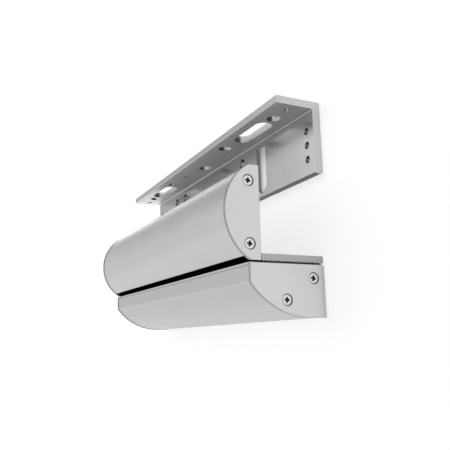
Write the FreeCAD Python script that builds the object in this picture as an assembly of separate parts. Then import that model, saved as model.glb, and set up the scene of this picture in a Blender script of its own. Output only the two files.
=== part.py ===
import FreeCAD
import Part
import math
import os

# Bracket set for an electromagnetic door lock, with no magnet and no armature plate fitted.
# An angle bracket goes on the door frame. The door half is a flat-backed base that goes on the
# door, with an armature carrier clamped on top of it. The carrier slides out from the door on a
# serrated foot. Both are hidden by extruded covers, closed at the ends by screwed plates.
#
# Millimetres. X runs along the brackets, -Y points out of the door, +Z is up.
# The origin is the middle of the base's back face, which lies on the door.

V = FreeCAD.Vector
ALONG = V(1, 0, 0)
BACK = V(0, 1, 0)
UP = V(0, 0, 1)

# ---- driving sizes: frame angle ----
frame_length = 250.0
frame_rise = 106.4          # its top face above the middle of the base
top_leg_depth = 29.0
top_leg_wall = 4.3
back_leg_height = 42.0
back_leg_wall = 5.0
root_radius = 0.9           # inner corner of the two legs
arris = 0.5                 # broken long edges
lower_back_radius = 1.4     # lower back edge of the back leg

tap_core = 4.2              # M5 tapped holes
plain_hole = 6.4
cable_hole = 9.6
countersunk_hole = 5.5
countersunk_mouth = 8.6
leg_slot_width = 11.0
leg_slot_length = 37.0
hole_line = 17.3            # hole line on the top leg, from the back face
end_tap_inset = 6.5         # from each end of the angle
end_screw_inset = 21.5
leg_slot_inset = 47.0       # slot centres
near_screw_inset = 80.4     # odd holes in the top leg: from the +X end
near_screw_y = 20.3         # and from the back face
cable_hole_x = -1.0         # from the middle of the length
cable_hole_y = 13.8
spare_tap_inset = 98.0      # from the -X end
spare_tap_y = 18.0
far_hole_inset = 72.6
far_hole_y = 20.5
column_inset = 6.8          # columns of three tapped holes, from each end
column_top = 15.5           # first hole below the top face
column_pitch = 8.4
column_count = 3
back_hole = 7.0             # plain holes through the back leg
back_hole_drop = 12.0       # below the top face
back_holes_near = (84.5,)   # from the +X end
back_holes_far = (62.3, 44.3)   # from the -X end
channel_inset = 59.1        # cable pocket down the front of the back leg, from the +X end
channel_width = 12.6
channel_depth = 2.7
channel_start = 8.6         # its square end, below the top face
channel_end = 40.2          # its pointed end, below the top face
channel_point = 104.0       # included angle of the pointed end, degrees

# ---- driving sizes: door half ----
door_length = 242.0         # over the end plates
end_plate = 1.8             # thickness of an end plate
plate_proud = 0.3           # end plates stand out past the covers
plate_bevel = 0.25
base_depth = 46.0
base_height = 28.8
end_plate_drop = 0.4        # base end plates stop below its top, clear of the sliding foot
belly_radius = 45.0
belly_flat = 10.0           # flat strip under the base, from the door
nose_bevel = 0.3            # on the front edge of the base's top
nose_land = 1.2             # upright strip of the profile under it, above the cover
back_corner = 0.9           # bevel on the base end plate's upper back corner
crease_radius = 2.5
base_back_wall = 4.5
base_top_wall = 5.0
base_cover_wall = 2.0
seam = 0.25                 # gap between a cover and the profile it clips to
hook_reach = 6.0            # inner flange of the base cover
hook_wall = 1.5
tongue_width = 1.2
tongue_height = 1.2
tongue_play = 0.2

# ---- driving sizes: armature carrier ----
carrier_gap = 39.0          # back face of the carrier's upright, from the door
carrier_wall = 4.5
carrier_rise = 51.6         # top of the upper housing above the base
housing_depth = 20.6        # upper housing, in front of the upright's back face
housing_radius = 30.0
housing_corner = 7.0
housing_floor = 0.5         # under the housing, above the base
lip_rise = 3.8              # lower lip of the upper cover, above the base
upper_cover_wall = 2.0
foot_wall = 4.1             # over the tips of the serrations
foot_back = 0.5             # foot ends short of the door
foot_corner = 0.7
slide_gap = 0.1             # running clearance above and below the foot
tooth_pitch = 1.75
tooth_depth = 0.85
tooth_tip = 0.3
tooth_land = 2.6            # plain strip at the back of the foot
steps_out = 10              # travel of the carrier, in teeth
armature_bolt_hole = 8.5
guide_hole = 6.2
guide_spacing = 72.0

# ---- driving sizes: screws ----
port_radius = 3.3
port_bore = 2.9             # for 3.5 mm thread-cutting screws
cap_screw = 2.84            # drawn at the core of the thread it cuts
countersink = 6.6           # mouth of its hole in an end plate
cap_screw_length = 13.0
cap_screw_sink = 0.5        # its head lies this deep in the countersink
screw_play = 0.06
recess_span = 3.1
recess_width = 1.2
recess_depth = 0.95
recess_turn = -9.0          # degrees
upper_port_y = 6.5          # in front of the upright's back face
upper_port_low = 9.0        # above the base
upper_port_spacing = 33.7
back_port = 7.1             # screw port in the base's back corner, from the door
back_port_drop = 7.9        # below the top of the base
belly_port_y = 24.4
belly_port_drop = 19.6
clamp_thread = 6.0
clamp_hole = 6.6
clamp_head = 10.0
clamp_head_height = 4.0
clamp_hex = 4.0             # across flats
clamp_hex_depth = 2.2
clamp_length = 16.0
clamp_y = 30.0              # screw line, from the door
clamp_spacing = 150.0
clamp_count = 2
thread_play = 0.02
washer_outer = 12.0
washer_wall = 1.6
nut_bar_width = 11.0
nut_bar_wall = 5.0
nut_bar_inset = 12.0        # from each end plate
door_screw = 5.5
door_screw_drop = 3.0       # below the middle of the base
door_screw_inset = 21.0
door_screw_count = 4

# ---- derived levels and planes ----
frame_end = frame_length / 2
frame_under = frame_rise - top_leg_wall
base_top = base_height / 2
base_bottom = -base_height / 2
door_end = door_length / 2
cover_end = door_end - end_plate
cover_front = -(base_depth - plate_proud)
upright_back = -carrier_gap
upright_front = upright_back - carrier_wall
housing_top = base_top + carrier_rise
housing_bottom = base_top + housing_floor
housing_middle = (housing_top + housing_bottom) / 2
housing_front = upright_back - housing_depth
housing_axis = housing_front + housing_radius
foot_under = base_top + slide_gap
foot_top = foot_under + foot_wall
travel = steps_out * tooth_pitch
washer_under = foot_top + slide_gap
clamp_xs = [(i - (clamp_count - 1) / 2) * clamp_spacing for i in range(clamp_count)]
door_screw_xs = [
    -cover_end + door_screw_inset + i * 2 * (cover_end - door_screw_inset) / (door_screw_count - 1)
    for i in range(door_screw_count)
]
upper_ports = [
    (upright_back - upper_port_y, base_top + upper_port_low + i * upper_port_spacing)
    for i in range(2)
]
back_port_at = (-back_port, base_top - back_port_drop)
belly_port_at = (-belly_port_y, base_top - belly_port_drop)


# ---- drawing ----
class Outline:
    """A closed outline in the YZ plane, drawn with straight runs and arcs."""

    def __init__(self, y, z):
        self.start = V(0, y, z)
        self.at = self.start
        self.edges = []

    def line(self, y, z):
        end = V(0, y, z)
        if self.at.distanceToPoint(end) > 1e-6:
            self.edges.append(Part.LineSegment(self.at, end).toShape())
        self.at = end
        return self

    def arc(self, centre, radius, angle_from, angle_to):
        """Arc about centre; angles in degrees from -Y towards +Z."""
        first, middle, last = [
            V(0, centre[0] - radius * math.cos(math.radians(a)), centre[1] + radius * math.sin(math.radians(a)))
            for a in (angle_from, (angle_from + angle_to) / 2, angle_to)
        ]
        self.line(first.y, first.z)
        self.edges.append(Part.Arc(first, middle, last).toShape())
        self.at = last
        return self

    def solid(self, x_from, x_to):
        self.line(self.start.y, self.start.z)
        face = Part.Face(Part.Wire(self.edges))
        face.translate(ALONG * x_from)
        return face.extrude(ALONG * (x_to - x_from))


def bar(x_from, x_to, y_from, y_to, z_from, z_to):
    size = (abs(x_to - x_from), abs(y_to - y_from), abs(z_to - z_from))
    return Part.makeBox(*size, V(min(x_from, x_to), min(y_from, y_to), min(z_from, z_to)))


def rod(diameter, length, at, along):
    return Part.makeCylinder(diameter / 2, length, at, along)


def cut_all(solid, tools):
    return solid.cut(Part.makeCompound(tools)) if tools else solid


def fuse_all(solid, pieces):
    return solid.fuse(pieces).removeSplitter()


def long_edges(solid, places, reach=0.05):
    """The edges along X that run through the given (y, z) places."""
    found = []
    for edge in solid.Edges:
        first, last = edge.Vertexes[0].Point, edge.Vertexes[-1].Point
        if abs(first.x - last.x) < 1 or last.distanceToPoint(V(last.x, first.y, first.z)) > reach:
            continue
        if any(math.hypot(first.y - y, first.z - z) < reach for y, z in places):
            found.append(edge)
    return found


def drilled(diameter, depth, at, into, mouth=0.0):
    """A hole from a face, with a 45 degree countersink where it has a mouth."""
    tools = [rod(diameter, depth + 2, at - into, into)]
    if mouth > diameter:
        tools.append(Part.makeCone(mouth / 2 + 1, diameter / 2, (mouth - diameter) / 2 + 1, at - into, into))
    return tools


def slot_tool(width, length, depth, at, run, into):
    """A round-ended slot through a wall, with its length along run."""
    reach = (length - width) / 2
    ends = [rod(width, depth, at + run * s, into) for s in (-reach, reach)]
    side = run.cross(into)
    corners = [at + run * (reach * a) + side * (width / 2 * b) for a, b in ((-1, -1), (1, -1), (1, 1), (-1, 1))]
    middle = Part.Face(Part.makePolygon(corners + corners[:1])).extrude(into * depth)
    return middle.fuse(ends).removeSplitter()


# ---- frame angle ----
def frame_angle():
    r = root_radius
    back_front = -back_leg_wall
    outline = Outline(0, frame_rise)
    outline.line(-top_leg_depth, frame_rise)
    outline.line(-top_leg_depth, frame_under)
    outline.arc((back_front - r, frame_under - r), r, 90, 180)
    outline.line(back_front, frame_rise - back_leg_height)
    outline.line(0, frame_rise - back_leg_height)
    angle = outline.solid(-frame_end, frame_end)
    angle = angle.makeFillet(lower_back_radius, long_edges(angle, [(0, frame_rise - back_leg_height)]))
    sharp = [(-top_leg_depth, frame_rise), (-top_leg_depth, frame_under), (0, frame_rise),
             (back_front, frame_rise - back_leg_height)]
    angle = angle.makeChamfer(arris, long_edges(angle, sharp))
    return cut_all(angle, top_leg_holes() + back_leg_holes() + [cable_channel()])


def top_leg_holes():
    """Holes in the top leg, with their mouths on its underside."""
    tools = []
    for side in (-1, 1):
        tools += drilled(tap_core, top_leg_wall, V(side * (frame_end - end_tap_inset), -hole_line, frame_under), UP)
        tools += drilled(countersunk_hole, top_leg_wall,
                         V(side * (frame_end - end_screw_inset), -hole_line, frame_under), UP, countersunk_mouth)
        tools.append(slot_tool(leg_slot_width, leg_slot_length, top_leg_wall + 2,
                               V(side * (frame_end - leg_slot_inset), -hole_line, frame_under - 1), ALONG, UP))
    for x, y, bore, mouth in (
        (frame_end - near_screw_inset, near_screw_y, countersunk_hole, countersunk_mouth),
        (cable_hole_x, cable_hole_y, cable_hole, 0),
        (-frame_end + spare_tap_inset, spare_tap_y, tap_core, 0),
        (-frame_end + far_hole_inset, far_hole_y, plain_hole, 0),
    ):
        tools += drilled(bore, top_leg_wall, V(x, -y, frame_under), UP, mouth)
    return tools


def back_leg_holes():
    """Holes in the back leg, with their mouths on its front."""
    tools = []
    for side in (-1, 1):
        for i in range(column_count):
            at = V(side * (frame_end - column_inset), -back_leg_wall, frame_rise - column_top - i * column_pitch)
            tools += drilled(tap_core, back_leg_wall, at, BACK)
    back_holes = [frame_end - inset for inset in back_holes_near] + [inset - frame_end for inset in back_holes_far]
    for x in back_holes:
        tools += drilled(back_hole, back_leg_wall, V(x, -back_leg_wall, frame_rise - back_hole_drop), BACK)
    return tools


def cable_channel():
    """A shallow pocket down the leg's face, square at the top and pointed at the bottom."""
    half = channel_width / 2
    point = half / math.tan(math.radians(channel_point / 2))
    top = frame_rise - channel_start
    tip = frame_rise - channel_end
    corners = [(-half, top), (half, top), (half, tip + point), (0.0, tip), (-half, tip + point)]
    outline = [V(frame_end - channel_inset + x, -back_leg_wall, z) for x, z in corners]
    face = Part.Face(Part.makePolygon(outline + outline[:1]))
    return face.extrude(V(0, channel_depth, 0))


# ---- base, on the door ----
def base_outline(inset):
    """Outer outline of the base's nose, front, belly and back, set in at the front and below."""
    front = -(base_depth - inset)
    bottom = base_bottom + inset
    radius = belly_radius - inset
    centre = (-belly_flat, bottom + radius)
    start = -math.degrees(math.acos((base_depth - inset - belly_flat) / radius))
    return front, bottom, radius, centre, start


def base_plate():
    """Extruded base: a wall on the door, a top that carries the carrier, and a screw port."""
    groove_out = cover_front + base_cover_wall + hook_reach
    groove_in = groove_out - tongue_width - 2 * tongue_play
    under = base_top - base_top_wall
    nose = base_top - nose_bevel - nose_land
    tongue_low = base_bottom + plate_proud + (base_cover_wall - tongue_width) / 2 - tongue_play
    tongue_high = tongue_low + tongue_width + 2 * tongue_play
    outline = Outline(0, base_bottom + plate_proud)
    outline.line(0, base_top)
    outline.line(cover_front + nose_bevel, base_top)
    outline.line(cover_front, base_top - nose_bevel)
    outline.line(cover_front, nose)
    outline.line(cover_front + base_cover_wall + seam, nose)
    outline.line(cover_front + base_cover_wall + seam, under)
    outline.line(groove_in, under)
    outline.line(groove_in, under + tongue_height + tongue_play)
    outline.line(groove_out, under + tongue_height + tongue_play)
    outline.line(groove_out, under)
    outline.line(-base_back_wall, under)
    outline.line(-base_back_wall, tongue_high)
    outline.line(-base_back_wall + tongue_height + tongue_play, tongue_high)
    outline.line(-base_back_wall + tongue_height + tongue_play, tongue_low)
    outline.line(-base_back_wall, tongue_low)
    outline.line(-base_back_wall, base_bottom + plate_proud)
    plate = outline.solid(-cover_end, cover_end)
    port = rod(2 * port_radius, 2 * cover_end, V(-cover_end, *back_port_at), ALONG)
    plate = fuse_all(plate, [port])
    tools = [rod(port_bore, 2 * cover_end + 2, V(-cover_end - 1, *back_port_at), ALONG)]
    for x in clamp_xs:
        tools.append(rod(clamp_hole, base_top_wall + 2, V(x, -clamp_y, under - 1), UP))
    for x in door_screw_xs:
        tools += drilled(door_screw, base_back_wall, V(x, -base_back_wall, -door_screw_drop), BACK)
    return cut_all(plate, tools)


def base_cover():
    """Extruded front of the base: clips under the nose and into the back wall."""
    wall = base_cover_wall
    front, bottom, radius, centre, start = base_outline(plate_proud)
    inner_start = -math.degrees(math.acos((base_depth - plate_proud - wall - belly_flat) / (radius - wall)))
    top = base_top - nose_bevel - nose_land - seam
    back = -base_back_wall - seam
    outline = Outline(front, top)
    outline.arc(centre, radius, start, -90)
    outline.line(back, bottom)
    outline.line(back, bottom + wall)
    outline.line(-belly_flat, bottom + wall)
    outline.arc(centre, radius - wall, -90, inner_start)
    outline.line(front + wall, top)
    shell = outline.solid(-cover_end, cover_end)
    shell = shell.makeFillet(crease_radius, long_edges(shell, [(front, centre[1] + radius * math.sin(math.radians(start)))]))
    flange_top = base_top - base_top_wall - seam
    tongue_from = front + wall + hook_reach - tongue_width - tongue_play
    low = bottom + (wall - tongue_width) / 2
    out = math.hypot(belly_port_at[0] - centre[0], belly_port_at[1] - centre[1])
    web_angle = math.degrees(math.atan2(belly_port_at[1] - centre[1], centre[0] - belly_port_at[0]))
    web = bar(0, 2 * cover_end, -(radius - wall / 2), -out, -hook_wall / 2, hook_wall / 2)
    web.translate(ALONG * -cover_end)
    web.rotate(V(0, 0, 0), ALONG, -web_angle)
    web.translate(V(0, *centre))
    shell = fuse_all(shell, [
        bar(-cover_end, cover_end, front + wall / 2, tongue_from + tongue_width, flange_top - hook_wall, flange_top),
        bar(-cover_end, cover_end, tongue_from, tongue_from + tongue_width,
            flange_top - hook_wall / 2, flange_top + seam + tongue_height),
        bar(-cover_end, cover_end, back - 1, back + seam + tongue_height, low, low + tongue_width),
        rod(2 * port_radius, 2 * cover_end, V(-cover_end, *belly_port_at), ALONG),
        web,
    ])
    return shell.cut(rod(port_bore, 2 * cover_end + 2, V(-cover_end - 1, *belly_port_at), ALONG))


def base_end_plate(side):
    front, bottom, radius, centre, start = base_outline(0)
    top = base_top - end_plate_drop
    outline = Outline(0, bottom)
    outline.line(0, top - back_corner)
    outline.line(-back_corner, top)
    outline.line(front, top)
    outline.arc(centre, radius, start, -90)
    return finished_end_plate(outline, side, [back_port_at, belly_port_at])


def finished_end_plate(outline, side, ports):
    """An end plate with its outer rim bevelled and its screw holes countersunk right through."""
    inner = side * cover_end
    outer = side * door_end
    plate = outline.solid(min(inner, outer), max(inner, outer))
    face = max(plate.Faces, key=lambda f: side * f.CenterOfMass.x)
    plate = plate.makeChamfer(plate_bevel, face.Edges)
    return cut_all(plate, [head_cone(side, y, z, 0, 0) for y, z in ports])


# ---- armature carrier ----
def carrier():
    """Extruded angle: an upright for the armature and a foot serrated underneath."""
    top = housing_top - plate_proud - upper_cover_wall - seam
    back = -foot_back
    outline = Outline(upright_back, top)
    outline.line(upright_back, foot_top)
    outline.line(back, foot_top)
    outline.line(back, foot_under + foot_corner)
    outline.line(back - foot_corner, foot_under)
    y = back - tooth_land
    while y - tooth_pitch > upright_front + tooth_tip:
        outline.line(y, foot_under)
        outline.line(y - (tooth_pitch - tooth_tip) / 2, foot_under + tooth_depth)
        y -= tooth_pitch
        outline.line(y + tooth_tip, foot_under)
    outline.line(upright_front, foot_under)
    outline.line(upright_front, top)
    body = outline.solid(-door_end, door_end)
    ports = [rod(2 * port_radius, 2 * cover_end, V(-cover_end, y, z), ALONG) for y, z in upper_ports]
    body = fuse_all(body, ports)
    groove = tongue_width + 2 * tongue_play
    groove_at = upright_front + (carrier_wall - groove) / 2
    tools = [bar(-door_end, door_end, groove_at, groove_at + groove, top - tongue_height - tongue_play, top + 1)]
    for side in (-1, 1):
        tools.append(bar(side * cover_end, side * (door_end + 1), upright_back,
                         upright_front - port_radius - upper_port_y, foot_under - 1, top + 1))
    tools += [rod(port_bore, door_length, V(-door_end, y, z), ALONG) for y, z in upper_ports]
    for x in clamp_xs:
        tools.append(slot_tool(clamp_hole, clamp_hole + travel, foot_wall + 2,
                               V(x, -clamp_y + travel / 2, foot_under - 1), BACK, UP))
    middle = (foot_top + top) / 2
    for x, bore in ((0, armature_bolt_hole), (-guide_spacing / 2, guide_hole), (guide_spacing / 2, guide_hole)):
        tools.append(rod(bore, carrier_wall + 2, V(x, upright_front - 1, middle), BACK))
    return cut_all(body, tools)


def housing_shape(inset):
    """Centre and radius of the housing's front and of its rounded upper corner, set in by inset."""
    radius = housing_radius - inset
    corner = housing_corner - inset
    top = housing_top - inset
    rise = top - corner - housing_middle
    reach = math.sqrt((radius - corner) ** 2 - rise ** 2)
    corner_centre = (housing_axis - reach, top - corner)
    turn = math.degrees(math.atan2(rise, reach))
    return radius, corner, corner_centre, turn


def upper_cover():
    """Extruded front of the carrier: hooks over the upright and ends in a free rounded lip."""
    axis = (housing_axis, housing_middle)
    outer, outer_corner, corner_centre, turn = housing_shape(plate_proud)
    inner, inner_corner, inner_centre, inner_turn = housing_shape(plate_proud + upper_cover_wall)
    lip = math.degrees(math.asin((base_top + lip_rise - housing_middle) / ((outer + inner) / 2)))
    middle = (outer + inner) / 2
    lip_centre = (axis[0] - middle * math.cos(math.radians(lip)), axis[1] + middle * math.sin(math.radians(lip)))
    outline = Outline(upright_back, housing_top - plate_proud)
    outline.arc(corner_centre, outer_corner, 90, turn)
    outline.arc(axis, outer, turn, lip)
    outline.arc(lip_centre, upper_cover_wall / 2, lip, lip - 180)
    outline.arc(axis, inner, lip, inner_turn)
    outline.arc(inner_centre, inner_corner, inner_turn, 90)
    outline.line(upright_back, housing_top - plate_proud - upper_cover_wall)
    shell = outline.solid(-cover_end, cover_end)
    under = housing_top - plate_proud - upper_cover_wall
    hook_at = upright_front + (carrier_wall - tongue_width) / 2
    ribs = [bar(-cover_end, cover_end, hook_at, hook_at + tongue_width, under - seam - tongue_height, under + 0.5)]
    for y, z in upper_ports:
        reach = math.sqrt((middle) ** 2 - (z - housing_middle) ** 2)
        ribs.append(bar(-cover_end, cover_end, housing_axis - reach, y - port_radius - seam,
                        z - hook_wall / 2, z + hook_wall / 2))
    return fuse_all(shell, ribs)


def upper_end_plate(side):
    radius, corner, corner_centre, turn = housing_shape(0)
    low = math.degrees(math.asin((housing_bottom - housing_middle) / radius))
    outline = Outline(upright_back, housing_top)
    outline.arc(corner_centre, corner, 90, turn)
    outline.arc((housing_axis, housing_middle), radius, turn, low)
    outline.line(upright_back, housing_bottom)
    return finished_end_plate(outline, side, upper_ports)


# ---- screws ----
def head_cone(side, y, z, sink, shrink):
    """The countersink through an end plate, or the head that lies sunk in it."""
    core = cap_screw / 2 + screw_play
    mouth = countersink / 2 - (countersink / 2 - core) * sink / end_plate
    return Part.makeCone(mouth - shrink, core - shrink, end_plate - sink,
                         V(side * (door_end - sink), y, z), V(-side, 0, 0))


def cap_screw_solid(side, y, z):
    """Countersunk thread-cutting screw with a cross recess, driven in from the side's end plate."""
    head = head_cone(side, y, z, cap_screw_sink, screw_play)
    shank = rod(cap_screw, cap_screw_length, V(side * (door_end - cap_screw_sink), y, z), V(-side, 0, 0))
    screw = head.fuse(shank).removeSplitter()
    return screw.cut(cross_recess(side, y, z))


def cross_recess(side, y, z):
    mouth = side * (door_end - cap_screw_sink + 1)
    floor = side * (door_end - cap_screw_sink - recess_depth)
    wings = []
    for turn in (recess_turn, recess_turn + 90):
        wing = bar(floor, mouth, y - recess_span / 2, y + recess_span / 2, z - recess_width / 2, z + recess_width / 2)
        wings.append(wing.rotate(V(0, y, z), ALONG, turn))
    return wings[0].fuse(wings[1])


def cap_screws(port):
    """The two screws at the ends of one port."""
    return Part.makeCompound([cap_screw_solid(side, *port) for side in (-1, 1)])


def clamp_screws():
    """Low-head screws with hexagon sockets, one through each slot of the foot."""
    screws = []
    seat = washer_under + washer_wall
    for x in clamp_xs:
        shank = rod(clamp_thread, clamp_length, V(x, -clamp_y, seat - clamp_length), UP)
        head = rod(clamp_head, clamp_head_height, V(x, -clamp_y, seat), UP)
        socket = Part.Face(hexagon(x, seat + clamp_head_height)).extrude(UP * -clamp_hex_depth)
        screws.append(shank.fuse(head).removeSplitter().cut(socket))
    return Part.makeCompound(screws)


def hexagon(x, z):
    reach = clamp_hex / 2 / math.cos(math.radians(30))
    corners = [V(x + reach * math.cos(math.radians(60 * i)), -clamp_y + reach * math.sin(math.radians(60 * i)), z)
               for i in range(6)]
    return Part.makePolygon(corners + corners[:1])


def clamp_washers():
    rings = []
    for x in clamp_xs:
        at = V(x, -clamp_y, washer_under)
        rings.append(rod(washer_outer, washer_wall, at, UP).cut(rod(clamp_hole, washer_wall, at, UP)))
    return Part.makeCompound(rings)


def clamp_nut_bar():
    """Tapped bar under the base's top that the clamp screws pull up against it."""
    top = base_top - base_top_wall
    end = cover_end - nut_bar_inset
    strip = bar(-end, end, -clamp_y - nut_bar_width / 2, -clamp_y + nut_bar_width / 2, top - nut_bar_wall, top)
    tools = [rod(clamp_thread + 2 * thread_play, nut_bar_wall, V(x, -clamp_y, top - nut_bar_wall), UP) for x in clamp_xs]
    return cut_all(strip, tools)


NODES = {
    "frame_angle": frame_angle(),
    "base_plate": base_plate(),
    "base_cover": base_cover(),
    "base_end_plate_left": base_end_plate(-1),
    "base_end_plate_right": base_end_plate(1),
    "base_back_screws": cap_screws(back_port_at),
    "base_front_screws": cap_screws(belly_port_at),
    "armature_carrier": carrier(),
    "carrier_cover": upper_cover(),
    "carrier_end_plate_left": upper_end_plate(-1),
    "carrier_end_plate_right": upper_end_plate(1),
    "carrier_lower_screws": cap_screws(upper_ports[0]),
    "carrier_upper_screws": cap_screws(upper_ports[1]),
    "clamp_screws": clamp_screws(),
    "clamp_washers": clamp_washers(),
    "clamp_nut_bar": clamp_nut_bar(),
}

os.makedirs("parts", exist_ok=True)
for name, shape in NODES.items():
    shape.exportStep(os.path.join("parts", name + ".step"))
    print(name, len(shape.Solids), round(shape.Volume, 1), shape.isValid())
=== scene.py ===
import math

import bpy
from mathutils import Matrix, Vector


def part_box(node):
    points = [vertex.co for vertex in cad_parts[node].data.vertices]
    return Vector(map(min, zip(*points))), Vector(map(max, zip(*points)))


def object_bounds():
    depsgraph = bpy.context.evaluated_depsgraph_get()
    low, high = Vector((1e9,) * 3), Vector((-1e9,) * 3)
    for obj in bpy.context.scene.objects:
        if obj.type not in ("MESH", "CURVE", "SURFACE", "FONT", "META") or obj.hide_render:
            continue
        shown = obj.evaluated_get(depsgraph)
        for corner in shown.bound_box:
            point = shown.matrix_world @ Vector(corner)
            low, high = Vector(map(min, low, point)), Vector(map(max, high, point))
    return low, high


# Looks of the bracket set: anodised aluminium angle, extruded housings, end plates and steel screws.
# Metres, in the part's frame: X along the brackets, -Y out of the door, +Z up.

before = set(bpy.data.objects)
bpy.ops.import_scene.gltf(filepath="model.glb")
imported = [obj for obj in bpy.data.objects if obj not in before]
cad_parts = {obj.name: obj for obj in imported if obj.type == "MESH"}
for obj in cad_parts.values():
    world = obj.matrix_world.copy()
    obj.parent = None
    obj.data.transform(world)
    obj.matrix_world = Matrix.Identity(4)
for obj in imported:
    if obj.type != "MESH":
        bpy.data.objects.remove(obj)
cad_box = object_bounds()

MM = 0.001

# ---- view ----
VIEW_AZIMUTH = 63.4
VIEW_ELEVATION = -11.45
VIEW_ROLL = -1.35
VIEW_LENS = 45.4
VIEW_DISTANCE = 0.4084
AIM_OFFSET = (0.01415, 0.0236, 0.0102)      # from the middle of the part's box

# ---- studio ----
WALL_GAP = 0.8 * MM                         # from the parts' backs to the wall
FLOOR_DROP = 0.30                           # from the part down to the floor
STAGE_REACH = 4.0
WALL_GREY = 0.50
WALL_GLOW = 0.72                            # added where the camera sees it, so that the lit wall is white
FLOOR_GREY = 0.74
FLOOR_GLOW = 0.72                           # likewise
FLOOR_GLOW_MIRRORED = 0.50                  # what metal sees of it
CARD_LEFT = 0.70                            # how much of the wall metal mirrors, from the part's middle
CARD_RIGHT = 0.45
CARD_RISE = 0.20
CARD_GREY = 0.75
CARD_SPLIT = 0.060                          # the height that parts the two left of the brackets
CARD_GLOW_HIGH = 1.20
CARD_GLOW_LOW = 0.42
CARD_GLOW_RIGHT = 0.58
ROOM_LEVEL = 0.74                           # the room in front of the wall, level with the part
ROOM_WALL_SIDE = 0.66                       # the same behind the wall
ROOM_TOP = 0.16                             # and overhead
ROOM_FADE = (0.12, 0.95)                    # the rise of the directions between them
ROOM_TURN = 0.10                            # half the width of the change from side to side
KEY = {"towards": (-0.35, -0.80, 0.50), "distance": 3.0, "size": 3.0, "power": 24.0}

# ---- forms that the finishes follow ----
TOP_LEG = 4.3 * MM                          # the frame angle's legs and the holes in them
BACK_LEG = 5.0 * MM
SLOT_INSET = 47.0 * MM                      # from an end to the middle of a slot
SLOT_REACH = 18.7 * MM                      # a little over half its length
END_TAP = 10.0 * MM                         # the tapped holes near the ends lie within this
POCKET_INSET = 59.1 * MM
POCKET_REACH = 6.6 * MM
THREAD_PITCH = 0.8 * MM
SUNK_RADIUS = 3.5 * MM                      # the countersinks in the end plates
CREASE_RISE = 18.0 * MM                     # the lower cover's crease, from its lowest line
SCREW_GROUPS = ("base_back_screws", "base_front_screws", "carrier_lower_screws", "carrier_upper_screws")

# ---- greys of the walls cut through the frame angle: painted shade, as shares of the finish's cut ----
CUT_MARGIN = 0.12 * MM                      # walls begin this far within the outer faces,
BACK_MOUTH = 0.82 * MM                      # this far behind the front of the back leg, and this far
UNDER_SKIN = 0.58 * MM                      # below the underside, which thus counts as a wall
CUT_TURNED_AWAY = 0.12                      # painted shade on walls that turn away from the room
CUT_TOWARDS_ROOM = 0.68                     # painted shade on walls square to it, the slots' long ones and the underside
CUT_MOUTH = 0.04                            # painted shade at the mouth of a round hole
MOUTH_DEPTH = 0.2 * MM
CUT_GROOVE = 0.25                           # painted shade between the painted bright stripes of the back leg's holes
CUT_HOLE_ENDS = 0.05                        # painted shade at their top and bottom
CUT_SLANT = 0.36                            # painted shade on the upright walls of the pocket
CUT_ROUGHER = 0.24                          # added to the roughness of all these walls

# ---- other shades ----
RECESS_SHADE = 0.09                         # painted shade in the crosses of the screw heads
RING_SHADE = 0.40                           # painted shade in the countersinks around the screws
CREASE_LIGHT = 0.045                        # painted highlight: added to the grey along the lower cover's crease
BLUER = 1.008                               # how much cooler than grey all metals are

# ---- the frame angle's downward faces: painted shade and painted sheen ----
FAR_PAINTED_SHEEN = (45 * MM, 70 * MM, 1.0, 0.0)    # the painted sheen at a low angle: from, to, and its strengths
NEAR_PAINTED_SHEEN = (80 * MM, 190 * MM, 0.36, 0.95)    # there, with distances along X from the far end
FOOT_RISE = 10 * MM                         # what faces down below this is the foot of the back leg,
FOOT_SHARE = 0.55                           # with this share of the finish's under, the painted shade


def view_axes():
    """The camera's right, up and backward directions."""
    azimuth = math.radians(VIEW_AZIMUTH)
    elevation = math.radians(VIEW_ELEVATION)
    roll = math.radians(VIEW_ROLL)
    back = Vector((math.sin(azimuth) * math.cos(elevation), -math.cos(azimuth) * math.cos(elevation),
                   math.sin(elevation)))
    right = Vector((0, 0, 1)).cross(back).normalized()
    up = back.cross(right)
    turned_right = right * math.cos(roll) + up * math.sin(roll)
    turned_up = up * math.cos(roll) - right * math.sin(roll)
    return turned_right, turned_up, back


def add_camera():
    data = bpy.data.cameras.new("camera")
    data.lens = VIEW_LENS
    data.sensor_width = 36.0
    data.clip_start = 0.01
    camera = bpy.data.objects.new("camera", data)
    bpy.context.scene.collection.objects.link(camera)
    right, up, back = view_axes()
    low, high = (Vector(corner) for corner in cad_box)
    aim = (low + high) / 2 + Vector(AIM_OFFSET)
    matrix = camera.matrix_world.to_3x3()
    for row in range(3):
        matrix[row] = (right[row], up[row], back[row])
    camera.matrix_world = matrix.to_4x4()
    camera.location = aim + back * VIEW_DISTANCE
    bpy.context.scene.camera = camera


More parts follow.
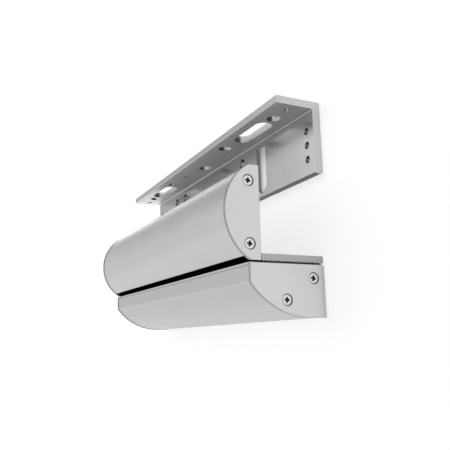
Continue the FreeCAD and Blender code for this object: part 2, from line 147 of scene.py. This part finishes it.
class Nodes:
    """A node tree with short calls: add a node, set its values, and link sockets."""

    def __init__(self, tree):
        self.tree = tree
        tree.nodes.clear()

    def add(self, kind, **values):
        node = self.tree.nodes.new(kind)
        for name, value in values.items():
            setattr(node, name, value)
        return node

    def feed(self, socket, source):
        if isinstance(source, bpy.types.NodeSocket):
            self.tree.links.new(source, socket)
        else:
            socket.default_value = source

    def math(self, operation, *sources):
        node = self.add("ShaderNodeMath", operation=operation)
        for socket, source in zip(node.inputs, sources):
            self.feed(socket, source)
        return node.outputs[0]

    def times(self, first, second):
        return self.math("MULTIPLY", first, second)

    def remap(self, value, low, high, to_low, to_high):
        node = self.add("ShaderNodeMapRange", clamp=True)
        for socket, source in zip(node.inputs, (value, low, high, to_low, to_high)):
            self.feed(socket, source)
        return node.outputs[0]

    def inside(self, value, low, high):
        """1 where the value lies between low and high."""
        return self.times(self.math("GREATER_THAN", value, low), self.math("LESS_THAN", value, high))

    def mix(self, factor, first, second):
        node = self.add("ShaderNodeMix", data_type="FLOAT")
        for socket, source in zip((node.inputs[0], node.inputs[2], node.inputs[3]), (factor, first, second)):
            self.feed(socket, source)
        return node.outputs[0]

    def split(self, vector):
        node = self.add("ShaderNodeSeparateXYZ")
        self.feed(node.inputs[0], vector)
        return node.outputs["X"], node.outputs["Y"], node.outputs["Z"]

    def scaled(self, vector, scale):
        node = self.add("ShaderNodeMapping")
        self.feed(node.inputs["Vector"], vector)
        node.inputs["Scale"].default_value = scale
        return node.outputs[0]

    def noise(self, vector, scale, detail=3.0, roughness=0.6):
        node = self.add("ShaderNodeTexNoise")
        self.feed(node.inputs["Vector"], vector)
        node.inputs["Scale"].default_value = scale
        node.inputs["Detail"].default_value = detail
        node.inputs["Roughness"].default_value = roughness
        return node.outputs["Fac"]

    def bump(self, height, depth, normal=None):
        node = self.add("ShaderNodeBump")
        node.inputs["Strength"].default_value = 1.0
        node.inputs["Distance"].default_value = depth
        self.feed(node.inputs["Height"], height)
        if normal is not None:
            self.feed(node.inputs["Normal"], normal)
        return node.outputs[0]


# ---- stage and light ----

def added_glow(nodes, direct, mirrored):
    """The glow that the camera sees straight, and the one that it sees in metal or through glass."""
    path = nodes.add("ShaderNodeLightPath")
    turned = nodes.math("MAXIMUM", path.outputs["Is Glossy Ray"], path.outputs["Is Transmission Ray"])
    return nodes.math("MAXIMUM", nodes.times(path.outputs["Is Camera Ray"], direct),
                      nodes.times(turned, mirrored))


def stage_material(name, grey, direct, mirrored):
    """A matt pale surface that is seen from its front only and glows a little where it is seen."""
    material = bpy.data.materials.new(name)
    material.use_nodes = True
    nodes = Nodes(material.node_tree)
    diffuse = nodes.add("ShaderNodeBsdfDiffuse")
    diffuse.inputs["Color"].default_value = (grey, grey, grey, 1)
    emission = nodes.add("ShaderNodeEmission")
    emission.inputs["Color"].default_value = (1, 1, 1, 1)
    nodes.feed(emission.inputs["Strength"], added_glow(nodes, direct, mirrored))
    both = nodes.add("ShaderNodeAddShader")
    nodes.feed(both.inputs[0], diffuse.outputs[0])
    nodes.feed(both.inputs[1], emission.outputs[0])
    clear = nodes.add("ShaderNodeBsdfTransparent")
    side = nodes.add("ShaderNodeMixShader")
    geometry = nodes.add("ShaderNodeNewGeometry")
    nodes.feed(side.inputs[0], geometry.outputs["Backfacing"])
    nodes.feed(side.inputs[1], both.outputs[0])
    nodes.feed(side.inputs[2], clear.outputs[0])
    output = nodes.add("ShaderNodeOutputMaterial")
    nodes.feed(output.inputs["Surface"], side.outputs[0])
    return material


def sheet(name, corners, material):
    mesh = bpy.data.meshes.new(name)
    mesh.from_pydata(corners, [], [tuple(range(len(corners)))])
    mesh.materials.append(material)
    piece = bpy.data.objects.new(name, mesh)
    bpy.context.scene.collection.objects.link(piece)
    return piece


def upright(name, left, right, bottom, top, y, material):
    return sheet(name, [(left, y, bottom), (right, y, bottom), (right, y, top), (left, y, top)], material)


def add_stage():
    """A pale wall that the backs lie against and a pale floor below.

    The camera sees the wall without an end. Metal mirrors cards in its plane, which leave out the two
    places that the backs cover.
    """
    low, high = cad_box
    floor_z = low[2] - FLOOR_DROP
    wall_y = high[1] + WALL_GAP
    card_top = high[2] + CARD_RISE
    reach = STAGE_REACH
    wall = upright("wall", -reach, reach, floor_z, reach, wall_y,
                   stage_material("wall_paint", WALL_GREY, WALL_GLOW, WALL_GLOW))
    wall.visible_glossy = False
    pieces = [wall]
    angle_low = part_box("frame_angle")[0][2]
    base_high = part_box("base_plate")[1][2]
    cards = [
        ("left_high", -CARD_LEFT, low[0], CARD_SPLIT, card_top, CARD_GLOW_HIGH),
        ("above", low[0], high[0], high[2], card_top, CARD_GLOW_LOW),
        ("between", low[0], high[0], base_high, angle_low, CARD_GLOW_LOW),
        ("left_low", -CARD_LEFT, low[0], floor_z, CARD_SPLIT, CARD_GLOW_LOW),
        ("below", low[0], high[0], floor_z, low[2], CARD_GLOW_LOW),
        ("right", high[0], CARD_RIGHT, floor_z, card_top, CARD_GLOW_RIGHT),
    ]
    for name, left, right, bottom, top, glow in cards:
        card = upright("wall_" + name, left, right, bottom, top, wall_y,
                       stage_material("wall_" + name + "_paint", CARD_GREY, glow, glow))
        card.visible_camera = False
        pieces.append(card)
    for piece in pieces:
        piece.visible_diffuse = False
        piece.visible_transmission = False
        piece.visible_shadow = False
    sheet("floor", [(-reach, -reach, floor_z), (reach, -reach, floor_z), (reach, wall_y, floor_z),
                    (-reach, wall_y, floor_z)],
          stage_material("floor_paint", FLOOR_GREY, FLOOR_GLOW, FLOOR_GLOW_MIRRORED))


def add_lamp(name, towards, distance, size, power):
    data = bpy.data.lights.new(name, "AREA")
    data.shape = "SQUARE"
    data.size = size
    data.energy = power
    lamp = bpy.data.objects.new(name, data)
    bpy.context.scene.collection.objects.link(lamp)
    direction = Vector(towards).normalized()
    low, high = (Vector(corner) for corner in cad_box)
    lamp.location = (low + high) / 2 + direction * distance
    lamp.rotation_mode = "QUATERNION"
    lamp.rotation_quaternion = direction.to_track_quat("Z", "Y")


def add_room():
    """The room's light: even around the part and darker overhead."""
    world = bpy.data.worlds.new("room")
    bpy.context.scene.world = world
    world.use_nodes = True
    nodes = Nodes(world.node_tree)
    direction = nodes.split(nodes.add("ShaderNodeTexCoord").outputs["Generated"])
    level = nodes.remap(direction[2], *ROOM_FADE, ROOM_LEVEL, ROOM_TOP)
    side = nodes.remap(direction[1], -ROOM_TURN, ROOM_TURN, 1.0, ROOM_WALL_SIDE / ROOM_LEVEL)
    background = nodes.add("ShaderNodeBackground")
    background.inputs["Color"].default_value = (1, 1, 1, 1)
    nodes.feed(background.inputs["Strength"], nodes.times(level, side))
    output = nodes.add("ShaderNodeOutputWorld")
    nodes.feed(output.inputs["Surface"], background.outputs[0])


# ---- metals ----

class Surface:
    """Where a point of the surface lies, and which way its face looks."""

    def __init__(self, nodes):
        self.place = nodes.add("ShaderNodeTexCoord").outputs["Object"]
        self.x, self.y, self.z = nodes.split(self.place)
        self.normal = nodes.add("ShaderNodeNewGeometry").outputs["True Normal"]
        self.facing_x, self.facing_y, self.facing_z = nodes.split(self.normal)
        self.from_middle = nodes.math("ABSOLUTE", self.x)
        self.end = nodes.math("ABSOLUTE", self.facing_x)    # 1 on end faces


def top_leg_walls(nodes, at, cut):
    """The greys of the walls cut through the frame angle's top leg, and of its underside, with painted
    shade.

    A round hole has painted shade at its mouth and where it turns away from the room. Slots and the tapped
    holes near the ends have no painted shade at the mouth.
    """
    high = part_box("frame_angle")[1]
    under = high[2] - TOP_LEG
    tone = nodes.times(nodes.remap(at.facing_y, -0.40, -0.12, cut, cut * CUT_TURNED_AWAY),
                       nodes.remap(at.facing_y, -0.95, -0.65, CUT_TOWARDS_ROOM, 1.0))
    tone = nodes.math("MAXIMUM", tone, nodes.remap(at.facing_x, -0.30, -0.10, cut, 0.0))
    mouth = nodes.remap(at.z, under, under + MOUTH_DEPTH, CUT_MOUTH, 1.0)
    slot = high[0] - SLOT_INSET
    slots = nodes.inside(at.from_middle, slot - SLOT_REACH, slot + SLOT_REACH)
    end_holes = nodes.math("GREATER_THAN", at.from_middle, high[0] - END_TAP)
    tone = nodes.times(tone, nodes.math("MAXIMUM", mouth, nodes.math("MAXIMUM", slots, end_holes)))
    flat = nodes.math("LESS_THAN", at.end, 0.005)
    return nodes.mix(flat, tone, cut * CUT_TOWARDS_ROOM)


def back_leg_walls(nodes, at, cut):
    """The greys of the walls cut into the frame angle's back leg, with painted light and shade.

    A hole shows painted bright stripes, as the light on a thread, between a top and bottom in painted
    shade. The pocket is plain but for painted shade on its upright walls.
    """
    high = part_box("frame_angle")[1]
    ridge = nodes.math("SINE", nodes.times(at.y, 2 * math.pi / THREAD_PITCH))
    upward = nodes.math("ABSOLUTE", at.facing_z)
    stripes = nodes.times(nodes.remap(ridge, -0.5, 0.3, cut * CUT_GROOVE, cut),
                          nodes.remap(upward, 0.45, 0.80, 1.0, CUT_HOLE_ENDS))
    middle = high[0] - POCKET_INSET
    pocket = nodes.inside(at.x, middle - POCKET_REACH, middle + POCKET_REACH)
    return nodes.mix(pocket, stripes, nodes.remap(at.end, 0.0, 0.5, cut, cut * CUT_SLANT))


def cut_walls(nodes, at, cut):
    """1 where the surface is a wall cut through the frame angle, and its grey with painted shade.

    The underside counts as one, with the upper part of the curve in the inner corner: they are as rough
    and as grey as the long walls of the slots, painted shade included.
    """
    low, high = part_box("frame_angle")
    under = high[2] - TOP_LEG
    front = high[1] - BACK_LEG
    in_back = nodes.times(nodes.inside(at.y, front + BACK_MOUTH, high[1] - CUT_MARGIN),
                          nodes.inside(at.z, low[2] + CUT_MARGIN, under))
    in_top = nodes.times(nodes.inside(at.z, under - UNDER_SKIN, high[2] - CUT_MARGIN),
                         nodes.inside(at.y, low[1] + CUT_MARGIN, front + CUT_MARGIN))
    walls = nodes.times(nodes.math("ADD", in_back, in_top),
                        nodes.math("LESS_THAN", at.from_middle, high[0] - CUT_MARGIN))
    return walls, nodes.mix(in_back, top_leg_walls(nodes, at, cut), back_leg_walls(nodes, at, cut))


def downward(nodes, at, under):
    """The painted shade of the frame angle's downward faces, and their painted sheen: how strongly they
    reflect at a low angle.

    The painted sheen is weaker in the middle than towards the ends. The underside has the painted sheen
    but not this shade: its grey, with painted shade of its own, comes from cut_walls().
    """
    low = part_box("frame_angle")[0]
    from_far = nodes.math("SUBTRACT", at.x, low[0])
    painted_sheen = nodes.math("MAXIMUM", nodes.remap(from_far, *FAR_PAINTED_SHEEN), nodes.remap(from_far, *NEAR_PAINTED_SHEEN))
    above_foot = nodes.math("GREATER_THAN", at.z, low[2] + FOOT_RISE)
    tone = nodes.mix(above_foot, under * FOOT_SHARE, under)
    down = nodes.remap(at.facing_z, -0.98, -0.90, 1.0, 0.0)
    return nodes.mix(down, 1.0, tone), nodes.mix(down, 1.0, painted_sheen)


def painted_ring_shade(nodes, at):
    """The painted shade of the countersinks in the end plates, around the screws."""
    nearest = None
    for name in SCREW_GROUPS:
        low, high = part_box(name)
        across = nodes.math("SUBTRACT", at.y, (low[1] + high[1]) / 2)
        along = nodes.math("SUBTRACT", at.z, (low[2] + high[2]) / 2)
        away = nodes.math("SQRT", nodes.math("ADD", nodes.times(across, across), nodes.times(along, along)))
        nearest = away if nearest is None else nodes.math("MINIMUM", nearest, away)
    ring = nodes.times(nodes.math("LESS_THAN", nearest, SUNK_RADIUS), nodes.math("LESS_THAN", at.end, 0.95))
    return nodes.math("SUBTRACT", 1.0, nodes.times(ring, 1 - RING_SHADE))


def shading(nodes, at, reach=6 * MM, low=0.10, high=0.55, floor=0.05, rim=None, sawn=None,
            under=None, front=None, recess=None, rings=False):
    """How the grey is darkened, and how strongly the metal reflects at a low angle (None: all over), a
    painted sheen.

    Crevices up to reach deep get painted shade: low and high are the open shares of the sky between
    which the painted shade goes from floor to full. rim is how dark the rims beside the end faces are,
    sawn the end faces, under the painted shade of the frame angle's downward faces, which also get a
    painted sheen, and front the painted shade and duller painted sheen of the faces towards -Y. recess
    is where the faces of screw heads lie, with painted shade in the recesses below, and rings paints
    shade into the countersinks.
    """
    shade = 1.0
    painted_sheen = None
    # painted shade in crevices, from ambient occlusion
    if reach:
        occlusion = nodes.add("ShaderNodeAmbientOcclusion", samples=8)
        occlusion.inputs["Distance"].default_value = reach
        shade = nodes.remap(occlusion.outputs["AO"], low, high, floor, 1.0)
    if rim:
        shade = nodes.times(shade, nodes.remap(at.end, 0.55, 0.95, rim, 1.0))
    if sawn:
        shade = nodes.times(shade, nodes.remap(at.end, 0.90, 0.99, 1.0, sawn))
    # painted shade and painted sheen on the frame angle's downward faces
    if under:
        tone, painted_sheen = downward(nodes, at, under)
        shade = nodes.times(shade, tone)
    # painted shade and a duller painted sheen on faces towards -Y, seen only through the gap
    if front:
        painted_sheen = nodes.remap(at.facing_y, -0.99, -0.95, front, 1.0)
        shade = nodes.times(shade, painted_sheen)
    # painted shade in the crosses of the screw heads
    if recess:
        deep = nodes.remap(at.from_middle, recess - 0.35 * MM, recess - 0.05 * MM, RECESS_SHADE, 1.0)
        shade = nodes.times(shade, deep)
    # painted shade in the countersinks
    if rings:
        shade = nodes.times(shade, painted_ring_shade(nodes, at))
    return shade, painted_sheen


def metal(name, base, roughness, grain, grain_depth, specks=0.02, drawn=None, brushed=None,
          round_off=0.20 * MM, wear_and_edge_light=0.06, crease=None, cut=None, **shades):
    """A metal with grain, faint blotches, rounded edges that are lighter, as slightly worn and as a painted
    edge highlight, and painted shade in crevices.

    base is its grey, grain the size of its fine texture and specks how much that varies the grey.
    drawn is the strength of lines along X and brushed of fine strokes on its end faces. wear is how
    much lighter its edges are, as slightly worn and as a painted edge highlight. crease is the height
    of a painted highlight line along X, cut the grey of the bare walls cut through it, which carry
    painted shade, and shades says what else is darker, and where shade is painted, as in shading().
    """
    material = bpy.data.materials.new(name)
    material.use_nodes = True
    nodes = Nodes(material.node_tree)
    at = Surface(nodes)
    grit = nodes.noise(at.place, 1.0 / grain, detail=2.0)
    value = nodes.remap(nodes.noise(at.place, 45.0), 0.3, 0.7, base * 0.975, base * 1.02)
    value = nodes.math("ADD", value, nodes.remap(grit, 0.25, 0.75, -specks, specks))
    rough = nodes.remap(nodes.noise(at.place, 90.0), 0.3, 0.7, roughness * 0.94, roughness * 1.06)
    normal = None
    if round_off:
        rounded = nodes.add("ShaderNodeBevel", samples=6)
        rounded.inputs["Radius"].default_value = round_off
        normal = rounded.outputs[0]
        # how far the rounded normal leaves the flat one: the lighter strip along an edge, slightly worn and
        # a painted edge highlight
        dot = nodes.add("ShaderNodeVectorMath", operation="DOT_PRODUCT")
        nodes.feed(dot.inputs[0], normal)
        nodes.feed(dot.inputs[1], at.normal)
        value = nodes.math("ADD", value, nodes.remap(dot.outputs["Value"], 0.75, 0.995, wear_and_edge_light, 0.0))
    height = grit
    if drawn:
        lines = nodes.noise(nodes.scaled(at.place, (6.0, 1400.0, 1400.0)), 1.0, detail=2.0)
        height = nodes.math("ADD", height, nodes.times(lines, drawn))
        rough = nodes.math("ADD", rough, nodes.remap(lines, 0.3, 0.7, -0.02 * drawn, 0.02 * drawn))
    if brushed:
        strokes = nodes.noise(nodes.scaled(at.place, (500.0, 60.0, 2600.0)), 1.0, roughness=0.65)
        on_ends = nodes.remap(at.end, 0.9, 0.99, 0.0, 1.0)
        height = nodes.math("ADD", height, nodes.times(nodes.times(strokes, brushed), on_ends))
    # a painted highlight line along the lower cover's crease
    if crease:
        away = nodes.math("ABSOLUTE", nodes.math("SUBTRACT", at.z, crease))
        value = nodes.math("ADD", value, nodes.remap(away, 0.2 * MM, 0.8 * MM, CREASE_LIGHT, 0.0))
    shade, painted_sheen = shading(nodes, at, **shades)
    value = nodes.times(value, shade)
    # the bare metal of the cut walls, with painted shade and painted stripes of light
    if cut:
        walls, tone = cut_walls(nodes, at, cut)
        value = nodes.mix(walls, value, tone)
        rough = nodes.math("ADD", rough, nodes.times(walls, CUT_ROUGHER))
    shader = nodes.add("ShaderNodeBsdfPrincipled")
    shader.inputs["Metallic"].default_value = 1.0
    colour = nodes.add("ShaderNodeCombineColor")
    nodes.feed(colour.inputs[0], value)
    nodes.feed(colour.inputs[1], value)
    nodes.feed(colour.inputs[2], nodes.times(value, BLUER))
    nodes.feed(shader.inputs["Base Color"], colour.outputs[0])
    nodes.feed(shader.inputs["Roughness"], rough)
    # the painted sheen sets the specular tint
    if painted_sheen is not None:
        tint = nodes.add("ShaderNodeCombineColor")
        for socket in tint.inputs[:3]:
            nodes.feed(socket, painted_sheen)
        nodes.feed(shader.inputs["Specular Tint"], tint.outputs[0])
    nodes.feed(shader.inputs["Normal"], nodes.bump(height, grain_depth, normal))
    output = nodes.add("ShaderNodeOutputMaterial")
    nodes.feed(output.inputs["Surface"], shader.outputs[0])
    return material


# reach, low, high and floor set the painted shade in crevices, as in shading()
FINISHES = {
    "angle_metal": dict(base=0.56, roughness=0.26, grain=0.5 * MM, grain_depth=0.0003 * MM, specks=0.012,
                        drawn=0.3, round_off=0.30 * MM, wear_and_edge_light=0.08, cut=0.95,
                        reach=None, sawn=0.95, under=0.20),
    "profile_metal": dict(base=0.66, roughness=0.30, grain=0.45 * MM, grain_depth=0.003 * MM,
                          drawn=0.2, brushed=1.5,
                          reach=25 * MM, low=0.12, high=0.40, floor=0.02, sawn=0.62),
    "cover_metal": dict(base=0.665, roughness=0.30, grain=0.5 * MM, grain_depth=0.002 * MM, specks=0.03,
                        drawn=0.2, round_off=None,
                        reach=8 * MM, high=0.45),
    "end_plate_metal": dict(base=0.65, roughness=0.36, grain=0.5 * MM, grain_depth=0.004 * MM, specks=0.07,
                            reach=2.5 * MM, low=0.35, high=0.90, rim=0.58, rings=True),
    "screw_steel": dict(base=0.72, roughness=0.24, grain=0.3 * MM, grain_depth=0.002 * MM,
                        round_off=0.08 * MM,
                        reach=1.5 * MM, low=0.30, high=0.85),
    "washer_steel": dict(base=0.62, roughness=0.28, grain=0.4 * MM, grain_depth=0.003 * MM,
                         round_off=0.12 * MM),
    "bar_steel": dict(base=0.50, roughness=0.38, grain=0.5 * MM, grain_depth=0.006 * MM),
}
OWN_FINISH = {                              # what differs from the slot's finish
    "base_cover": dict(base=0.60, crease=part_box("base_cover")[0][2] + CREASE_RISE),
    # the carrier: stronger painted shade in crevices, and painted shade with a duller painted sheen on its
    # faces towards -Y
    "armature_carrier": dict(low=0.60, high=0.92, front=0.30),
}
# screws: painted shade in their crosses and crevices
for group in SCREW_GROUPS:
    OWN_FINISH[group] = dict(recess=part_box(group)[1][0], low=0.40, high=0.90)


def dress_nodes():
    """Each CAD node takes the finish that its material slot names."""
    made = {name: metal(name + "_finish", **finish) for name, finish in FINISHES.items()}
    for name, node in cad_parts.items():
        for slot in node.material_slots:
            finish = slot.material.name.split(".")[0]
            if name in OWN_FINISH:
                slot.material = metal(name + "_finish", **dict(FINISHES[finish], **OWN_FINISH[name]))
            else:
                slot.material = made[finish]


add_camera()
bpy.context.scene.view_settings.view_transform = "Standard"
add_room()
add_lamp("key", **KEY)
add_stage()
dress_nodes()
